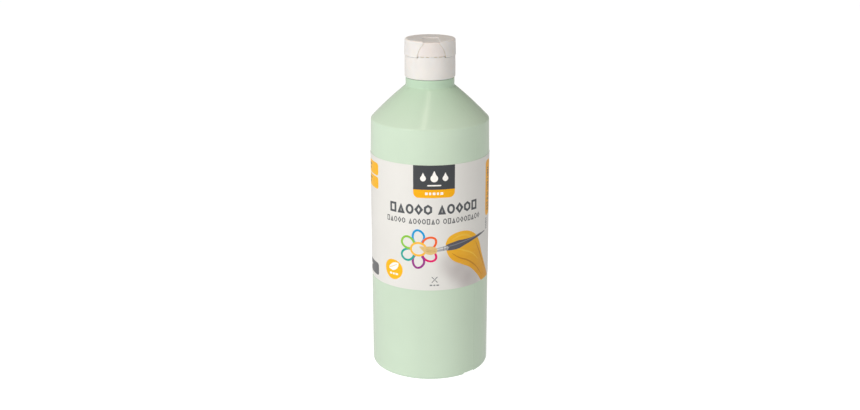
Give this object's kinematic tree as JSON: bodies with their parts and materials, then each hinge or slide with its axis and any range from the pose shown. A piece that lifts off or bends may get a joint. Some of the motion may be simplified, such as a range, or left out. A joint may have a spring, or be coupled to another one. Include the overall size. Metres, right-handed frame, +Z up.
{
  "type": "poster paint bottle",
  "caption": "Round squeeze bottle of pale green poster paint with a conical shoulder, a wrap label and a white screw cap whose hinged lid flips open over the pouring spout.",
  "frame": {"origin": "middle of the foot, on the surface that the bottle stands on", "axes": "+Z up along the bottle's axis; -Y is the front, with the middle of the label and the lid's hinge; +X to the right seen from the front"},
  "size_m": [0.068, 0.068, 0.1923],
  "materials": {
    "bottle_plastic": "satin blow-moulded polyethylene, slightly translucent",
    "paint": "wet, opaque pale green paint",
    "label_film": "printed white film with a soft sheen",
    "washer_foam": "off-white foam",
    "cap_plastic": "satin white moulded polypropylene"
  },
  "bodies": {
    "bottle": {"bottle_shell": "bottle_plastic", "paint": "paint", "wrap_label": "label_film"},
    "seal": {"sealing_washer": "washer_foam"},
    "cap": {"cap_base": "cap_plastic", "hinge_film": "cap_plastic"},
    "lid": {"flip_lid": "cap_plastic", "hinge_strap": "cap_plastic"}
  },
  "joints": [
    {"name": "cap_lift", "type": "slide", "parent": "bottle", "child": "seal", "axis": [0, 0, 1], "range_m": [0, 0.01121]},
    {"name": "cap_turn", "type": "hinge", "parent": "seal", "child": "cap", "pos_m": [0, 0, 0.175], "axis": [0, 0, 1], "range_deg": [0, 1260]},
    {"name": "lid_hinge", "type": "hinge", "parent": "cap", "child": "lid", "pos_m": [0, -0.0144, 0.18377], "axis": [1, 0, 0], "range_deg": [0, 140], "deforming": ["hinge_film"]}
  ],
  "couplings": [
    {"joint": "cap_lift", "follows": "cap_turn", "m_per_rad": 0.0005093}
  ]
}
